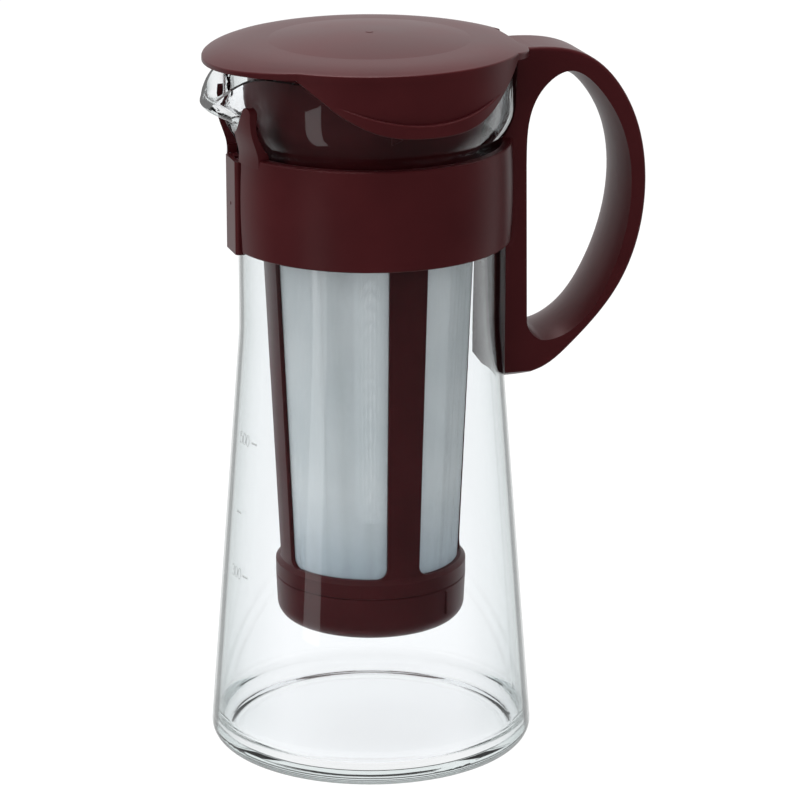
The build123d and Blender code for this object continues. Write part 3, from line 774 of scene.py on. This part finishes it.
@dataclass
class Jug:
    """Glass jug with its printed scale.

    Attributes:
        solids: The modelled solids by name.
        glass_nodes: The jug.
        cone_r: Outside radius of the cone, measured at the height of the base.
        neck_r: Outside radius of the neck.
        neck_low_z: Height where the cone ends.
        print_lift: How far the print stands off the glass.
        ink_depth: Thickness of the print.
        digit_size: Width and height of a digit.
        digit_pitch: Distance from digit to digit.
        digit_stroke: Width of a digit's line.
        print_step: Length of the print's segments.
        print_start: Direction in degrees from which distances round the cone count.
        tick_size: Length and height of a tick.
        ticks: Height in metres and direction in degrees of each tick's first end.
        numbers: Text, height of its foot and direction of its first digit in degrees.
    """

    solids: Solids
    glass_nodes: tuple[str, ...] = ("glass_carafe",)
    cone_r: float = 0.0470
    neck_r: float = 0.0373
    neck_low_z: float = 0.123
    print_lift: float = 0.00006
    ink_depth: float = 0.00006
    digit_size: tuple[float, float] = (0.00165, 0.0032)
    digit_pitch: float = 0.00215
    digit_stroke: float = 0.0002
    print_step: float = 0.00012
    print_start: float = -180.0
    tick_size: tuple[float, float] = (0.0026, 0.00055)
    ticks: tuple[tuple[float, float], ...] = (
        (0.0948, -164.5),
        (0.0731, -173.4),
        (0.0554, -165.3),
    )
    numbers: tuple[tuple[str, float, float], ...] = (
        ("500", 0.0932, -175.1),
        ("300", 0.0539, -174.9),
    )

    @property
    def slope(self) -> float:
        """Fall of the cone's radius per metre of height."""
        return (self.cone_r - self.neck_r) / self.neck_low_z

    def around(self, z: float, degrees: float) -> float:
        """Distance round the cone at a height, from below the spout to a direction."""
        return math.radians(degrees - self.print_start) * (self.cone_r - self.slope * z)

    def flat_curve(self, name: str) -> bpy.types.Object:
        """Starts an empty flat curve.

        Args:
            name: Name of the curve.

        Returns:
            The curve's object.
        """
        curve = bpy.data.curves.new(name, "CURVE")
        curve.dimensions = "3D"
        curve.twist_mode = "Z_UP"
        strokes = bpy.data.objects.new(name, curve)
        bpy.context.scene.collection.objects.link(strokes)
        return strokes

    def add_stroke(
        self, curve: bpy.types.Curve, points: list[tuple[float, float]], closed: bool
    ) -> None:
        """Adds one smooth stroke.

        Args:
            curve: The curve that gets it.
            points: Its control points, as distance round the cone and height.
            closed: Whether it closes on itself.
        """
        stroke = curve.splines.new("NURBS")
        stroke.points.add(len(points) - 1)
        for point, (x, y) in zip(stroke.points, points):
            point.co = (x, y, 0.0, 1.0)
        stroke.use_cyclic_u = closed
        stroke.order_u = 3
        stroke.use_endpoint_u = not closed

    def print_on_glass(
        self, strokes: bpy.types.Object, width: float, ink: bpy.types.Material
    ) -> None:
        """Turns flat strokes into print on the cone.

        Args:
            strokes: The curve's object.
            width: Width of the line.
            ink: Finish of the print.
        """
        tree = PrintedLine.build()
        values = {
            "Stroke Width": width,
            "Ink Depth": self.ink_depth,
            "Step": self.print_step,
            "Cone Radius": self.cone_r,
            "Cone Slope": self.slope,
            "Start Turn": math.radians(self.print_start),
            "Lift": self.print_lift,
            "Ink": ink,
        }
        printer = strokes.modifiers.new("printed_line", "NODES")
        printer.node_group = tree
        for socket in tree.interface.items_tree:
            if socket.name in values and socket.in_out == "INPUT":
                printer[socket.identifier] = values[socket.name]
        bpy.context.view_layer.update()
        evaluated = strokes.evaluated_get(bpy.context.evaluated_depsgraph_get())
        mesh = bpy.data.meshes.new_from_object(evaluated)
        name = strokes.name
        strokes.modifiers.remove(printer)
        bpy.data.objects.remove(strokes, do_unlink=True)
        place_piece(name, mesh, BodyName.POT)

    def build_scale(self, ink: bpy.types.Material) -> None:
        """Prints the numbers and the ticks.

        Args:
            ink: Finish of the print.
        """
        digits = self.flat_curve("scale_numbers")
        for text, foot, degrees in self.numbers:
            start = self.around(foot, degrees)
            for place, digit in enumerate(text):
                left = start + place * self.digit_pitch
                wide, tall = self.digit_size
                points = [(left + u * wide, foot + v * tall) for u, v in DIGIT_STROKES[digit]]
                self.add_stroke(digits.data, points, closed=digit == "0")
        self.print_on_glass(digits, self.digit_stroke, ink)
        ticks = self.flat_curve("scale_ticks")
        length, height = self.tick_size
        for z, degrees in self.ticks:
            left = self.around(z, degrees)
            ends = [(left, z), (left + length / 2, z), (left + length, z)]
            self.add_stroke(ticks.data, ends, closed=False)
        self.print_on_glass(ticks, height, ink)

    def build(self, glass: bpy.types.Material, ink: bpy.types.Material) -> None:
        """Dresses the glass and prints its scale.

        Args:
            glass: Finish of the jug.
            ink: Finish of the scale.
        """
        dress(self.solids, self.glass_nodes, glass)
        self.build_scale(ink)


@dataclass
class Holder:
    """Neck band with handle and prongs, and its clip.

    Attributes:
        solids: The modelled solids by name.
        mouldings: Band and clip.
        clip_face_x: Where the clip's flat face stands.
        gate_z: Height of the gate mark on that face.
        gate_r: Radius of the gate mark.
        gate_height: How far it stands up.
    """

    solids: Solids
    mouldings: tuple[str, ...] = ("handle_band", "band_clip")
    clip_face_x: float = -0.0406
    gate_z: float = 0.1622
    gate_r: float = 0.00045
    gate_height: float = 0.00012

    def build(self, plastic: bpy.types.Material) -> None:
        """Dresses the holder and adds the clip's gate mark.

        Args:
            plastic: Finish of both mouldings.
        """
        dress(self.solids, self.mouldings, plastic)
        foot = Vector((self.clip_face_x, 0.0, self.gate_z))
        outwards = Vector((-1, 0, 0))
        outline = disc_outline(self.gate_r)
        mark = raised_mark("clip_gate", outline, foot, outwards, self.gate_height, plastic)
        place_piece("clip_gate", mark, BodyName.CLIP)


@dataclass
class Strainer:
    """Hanging strainer with its cloth and its cap.

    Attributes:
        solids: The modelled solids by name.
        frame_nodes: Frame and cap.
        cloth_nodes: The mesh panels.
        arrow_r: Radius of the cup where the arrow stands.
        arrow_z: Height of the arrow's middle.
        arrow_turn: Direction of the arrow's middle in degrees.
        arrow_size: Length and height of the arrow.
        arrow_height: How far it stands up.
    """

    solids: Solids
    frame_nodes: tuple[str, ...] = ("strainer_frame", "strainer_cap")
    cloth_nodes: tuple[str, ...] = tuple(f"mesh_panel_{k}" for k in range(1, 5))
    arrow_r: float = 0.0334
    arrow_z: float = 0.1850
    arrow_turn: float = -93.6
    arrow_size: tuple[float, float] = (0.0031, 0.0025)
    arrow_height: float = 0.0003

    def build_arrow(self, plastic: bpy.types.Material) -> None:
        """Adds the arrow on the cup that shows which way the strainer sits.

        Args:
            plastic: Finish of the strainer.
        """
        turn = math.radians(self.arrow_turn)
        facing = Vector((math.cos(turn), math.sin(turn), 0.0))
        foot = self.arrow_r * facing + Vector((0, 0, self.arrow_z))
        length, height = self.arrow_size
        outline = [(-length / 2, height / 2), (-length / 2, -height / 2), (length / 2, 0.0)]
        mark = raised_mark("cup_arrow", outline, foot, facing, self.arrow_height, plastic)
        place_piece("cup_arrow", mark, BodyName.STRAINER)

    def build(self, plastic: bpy.types.Material, cloth: bpy.types.Material) -> None:
        """Dresses the strainer.

        Args:
            plastic: Finish of frame and cap.
            cloth: Finish of the mesh panels.
        """
        dress(self.solids, self.frame_nodes, plastic)
        dress(self.solids, self.cloth_nodes, cloth)
        self.build_arrow(plastic)


@dataclass
class Lid:
    """Lid with its finger skirts.

    Attributes:
        solids: The modelled solids by name.
        lid_nodes: The lid.
        gate_r: Radius of the gate mark at the middle of the top.
        gate_height: How far it stands up.
        top_z: Height of the middle of the top.
    """

    solids: Solids
    lid_nodes: tuple[str, ...] = ("lid",)
    gate_r: float = 0.0011
    gate_height: float = 0.00012
    top_z: float = 0.2084

    def build(self, plastic: bpy.types.Material) -> None:
        """Dresses the lid and adds its gate mark.

        Args:
            plastic: Finish of the lid.
        """
        dress(self.solids, self.lid_nodes, plastic)
        foot = Vector((0.0, 0.0, self.top_z - MARK_SINK))
        outline = disc_outline(self.gate_r)
        mark = raised_mark("lid_gate", outline, foot, Vector((0, 0, 1)), self.gate_height, plastic)
        place_piece("lid_gate", mark, BodyName.LID)


# ---- studio --------------------------------------------------------------------------------
@dataclass(frozen=True)
class Softbox:
    """Area lamp that only lights and, where wanted, shows in gloss.

    Attributes:
        name: Lamp name.
        place: Its position.
        aim: The point it faces.
        size: Width and height.
        power: Power in watts.
        mirrored: Whether it shows in reflections.
    """

    name: str
    place: Spot
    aim: Spot
    size: tuple[float, float]
    power: float
    mirrored: bool = False

    def hang(self) -> None:
        """Adds the lamp to the scene."""
        light = bpy.data.lights.new(self.name, "AREA")
        light.shape = "RECTANGLE"
        light.size, light.size_y = self.size
        light.energy = self.power
        lamp = bpy.data.objects.new(self.name, light)
        lamp.location = self.place
        turn = (Vector(self.aim) - Vector(self.place)).to_track_quat("-Z", "Y")
        lamp.rotation_euler = turn.to_euler()
        lamp.visible_glossy = self.mirrored
        lamp.visible_camera = False
        lamp.visible_transmission = False
        bpy.context.scene.collection.objects.link(lamp)


POT_MIDDLE: Spot = (0.0, 0.0, 0.11)
WINDOW_PLACE: Spot = (-0.175, -0.113, 0.075)
WINDOW_AIM: Spot = (0.0, 0.0, 0.075)
LAMPS = (
    Softbox("left_softbox", (-1.1, -0.35, 0.55), POT_MIDDLE, size=(0.5, 0.9), power=4.5),
    Softbox("right_softbox", (0.95, -0.85, 0.5), POT_MIDDLE, size=(0.35, 0.8), power=3.2),
    Softbox("top_softbox", (-0.1, 0.1, 1.2), POT_MIDDLE, (0.8, 0.8), power=17.0, mirrored=True),
    Softbox("left_strip", WINDOW_PLACE, WINDOW_AIM, (0.044, 0.14), power=0.028, mirrored=True),
    Softbox("left_core", WINDOW_PLACE, WINDOW_AIM, (0.018, 0.14), power=0.024, mirrored=True),
)


@dataclass
class Studio:
    """Floor, backdrop colour, lamps and camera, in metres.

    Attributes:
        eye: Camera position.
        gaze: Direction that the camera looks along.
        lens: Focal length in millimetres.
        sensor: Width of the sensor in millimetres.
        near: Distance from which the camera sees.
        floor_half: Half the floor's width.
        floor_drop: How far the floor lies below the base.
        daylight: Strength of the surrounding light.
        backdrop_side: Direction from the pot to the white backdrop.
        room_levels: How bright the room looks in reflections, away from the backdrop and at it.
        room_turn: Where the room's look changes, from 0 away from the backdrop to 1 at it.
        floor_tone: Grey of the lit paper.
        floor_roughness: Roughness of the paper.
        floor_gloss: Specular level of the paper.
        floor_white: How much of the floor's look is plain white instead of lit paper.
        white_glow: Strength of that white.
        white_foot: Distances from the axis between which gloss stops seeing the floor white.
        foot_glow: How white gloss sees the floor at the jug's foot.
        most_bounces: Most bounces of a ray.
        gloss_bounces: Most bounces off gloss.
        glass_bounces: Most walls of glass that a ray passes.
    """

    eye: Spot = (-0.3011, -1.0140, 0.4245)
    gaze: Spot = (0.2796, 0.9145, -0.2925)
    lens: float = 173.4
    sensor: float = 36.0
    near: float = 0.05
    floor_half: float = 6.0
    floor_drop: float = 0.0002
    daylight: float = 0.78
    backdrop_side: Spot = (0.28, 0.94, 0.18)
    room_levels: tuple[float, float] = (0.05, 0.88)
    room_turn: tuple[float, float] = (0.42, 0.75)
    floor_tone: float = 0.6
    floor_roughness: float = 0.9
    floor_gloss: float = 0.1
    floor_white: float = 0.85
    white_glow: float = 1.10
    white_foot: tuple[float, float] = (0.05, 0.11)
    foot_glow: float = 0.95
    most_bounces: int = 28
    gloss_bounces: int = 16
    glass_bounces: int = 24

    def ray_masks(self, sheet: NodeSheet) -> tuple[bpy.types.NodeSocket, bpy.types.NodeSocket]:
        """Masks of the rays that look straight or through glass, and of those seen in gloss.

        Args:
            sheet: The node sheet of the material or world.

        Returns:
            An output that is 1 for sight that met nothing but clear glass, and one that is 1
            for sight that was mirrored on its way.
        """
        path = sheet.add("ShaderNodeLightPath")
        mirrored = sheet.math("GREATER_THAN", path.outputs["Glossy Depth"], 0.0)
        through = path.outputs["Is Transmission Ray"]
        direct = sheet.math("MAXIMUM", path.outputs["Is Camera Ray"], through)
        bounces = sheet.math("ADD", path.outputs["Glossy Depth"], path.outputs["Diffuse Depth"])
        unbounced = sheet.math("LESS_THAN", bounces, 1.0)
        # light that runs to and fro inside the glass comes out bright
        turned = sheet.math("GREATER_THAN", path.outputs["Glossy Depth"], 1.0)
        piped = sheet.math("MULTIPLY", through, turned)
        undiffused = sheet.math("LESS_THAN", path.outputs["Diffuse Depth"], 1.0)
        inside = sheet.math("MULTIPLY", piped, undiffused)
        clear = sheet.math("MULTIPLY", direct, unbounced)
        return sheet.math("MAXIMUM", clear, inside), mirrored

    def room_level(self, sheet: NodeSheet, direction: bpy.types.NodeSocket) -> bpy.types.NodeSocket:
        """How bright the studio looks in reflections, dim but for the white backdrop.

        Args:
            sheet: The node sheet of the material or world.
            direction: Direction from the pot, of any length.

        Returns:
            An output with the level.
        """
        unit = sheet.add("ShaderNodeVectorMath", operation="NORMALIZE")
        sheet.join(direction, unit.inputs[0])
        across = sheet.add("ShaderNodeVectorMath", operation="DOT_PRODUCT")
        across.inputs[1].default_value = self.backdrop_side
        sheet.join(unit.outputs[0], across.inputs[0])
        share = sheet.math("MULTIPLY_ADD", across.outputs["Value"], 0.5, 0.5)
        greys = tuple((level, level, level, 1.0) for level in self.room_levels)
        ramp = sheet.add_ramp(self.room_turn, greys)
        ramp.color_ramp.interpolation = "EASE"
        sheet.join(share, ramp.inputs["Fac"])
        return ramp.outputs["Color"]

    def build_world(self) -> None:
        """Makes the surrounding light: a white studio that gloss sees bright only on one side."""
        world = bpy.data.worlds.new("studio_air")
        world.use_nodes = True
        sheet = NodeSheet(world.node_tree)
        glow = next(node for node in world.node_tree.nodes if node.type == "BACKGROUND")
        glow.inputs["Color"].default_value = (1.0, 1.0, 1.0, 1.0)
        straight, mirrored = self.ray_masks(sheet)
        place = sheet.add("ShaderNodeTexCoord")
        room = self.room_level(sheet, place.outputs["Generated"])
        lit = sheet.mix(MixKind.FLOAT, mirrored, self.daylight, room)
        sheet.join(sheet.mix(MixKind.FLOAT, straight, lit, 1.0), glow.inputs["Strength"])
        bpy.context.scene.world = world

    def build_floor(self) -> None:
        """Makes the plain pale floor."""
        mesh = bpy.data.meshes.new("floor")
        half, low = self.floor_half, -self.floor_drop
        corners = [(-half, -half, low), (half, -half, low), (half, half, low), (-half, half, low)]
        mesh.from_pydata(corners, [], [(0, 1, 2, 3)])
        floor = bpy.data.objects.new("floor", mesh)
        bpy.context.scene.collection.objects.link(floor)
        material, sheet, shader = fresh_material("floor_paper")
        shader.inputs["Base Color"].default_value = (*(self.floor_tone,) * 3, 1.0)
        shader.inputs["Roughness"].default_value = self.floor_roughness
        shader.inputs["Specular IOR Level"].default_value = self.floor_gloss
        out = next(node for node in sheet.tree.nodes if node.type == "OUTPUT_MATERIAL")
        straight, mirrored = self.ray_masks(sheet)
        white = sheet.add("ShaderNodeEmission")
        white.inputs["Strength"].default_value = self.white_glow
        place = sheet.add("ShaderNodeTexCoord")
        in_gloss = sheet.add("ShaderNodeEmission")
        away = sheet.add("ShaderNodeVectorMath", operation="LENGTH")
        sheet.join(place.outputs["Object"], away.inputs[0])
        under = sheet.fade(away.outputs["Value"], self.white_foot, self.foot_glow)
        room = self.room_level(sheet, place.outputs["Object"])
        sheet.join(sheet.math("MAXIMUM", room, under), in_gloss.inputs["Strength"])
        whitened = sheet.math("MULTIPLY", straight, self.floor_white)
        seen = sheet.mix_shaders(whitened, shader.outputs[0], white.outputs[0])
        only_gloss = sheet.math("MULTIPLY", mirrored, sheet.math("SUBTRACT", 1.0, straight))
        surface = sheet.mix_shaders(only_gloss, seen, in_gloss.outputs[0])
        sheet.join(surface, out.inputs["Surface"])
        mesh.materials.append(material)

    def build_camera(self) -> None:
        """Adds the camera."""
        data = bpy.data.cameras.new("camera")
        data.lens = self.lens
        data.sensor_width = self.sensor
        data.sensor_fit = "HORIZONTAL"
        data.clip_start = self.near
        camera = bpy.data.objects.new("camera", data)
        gaze = Vector(self.gaze).normalized()
        right = gaze.cross(Vector((0, 0, 1))).normalized()
        up = right.cross(gaze)
        turn = Matrix((right, up, -gaze)).transposed().to_4x4()
        camera.matrix_world = Matrix.Translation(Vector(self.eye)) @ turn
        bpy.context.scene.collection.objects.link(camera)
        bpy.context.scene.camera = camera

    def build(self) -> None:
        """Makes the whole studio."""
        self.build_world()
        self.build_floor()
        for lamp in LAMPS:
            lamp.hang()
        self.build_camera()
        scene = bpy.context.scene
        scene.view_settings.view_transform = "Standard"
        scene.cycles.max_bounces = self.most_bounces
        scene.cycles.glossy_bounces = self.gloss_bounces
        scene.cycles.transmission_bounces = self.glass_bounces


def clear_start_scene() -> None:
    """Removes what Blender starts with."""
    for thing in list(bpy.data.objects):
        bpy.data.objects.remove(thing, do_unlink=True)


def main() -> None:
    """Builds the pot, its finishes and the studio."""
    logging.basicConfig(level=logging.INFO, format="%(name)s: %(message)s")
    clear_start_scene()
    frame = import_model()
    solids = frame["nodes"]
    plastic = SatinPlastic().make()
    Jug(solids).build(ClearGlass().make(), ScalePrint().make())
    Holder(solids).build(plastic)
    Strainer(solids).build(plastic, StrainerCloth().make())
    Lid(solids).build(plastic)
    Studio().build()


if __name__ == "__main__":
    main()
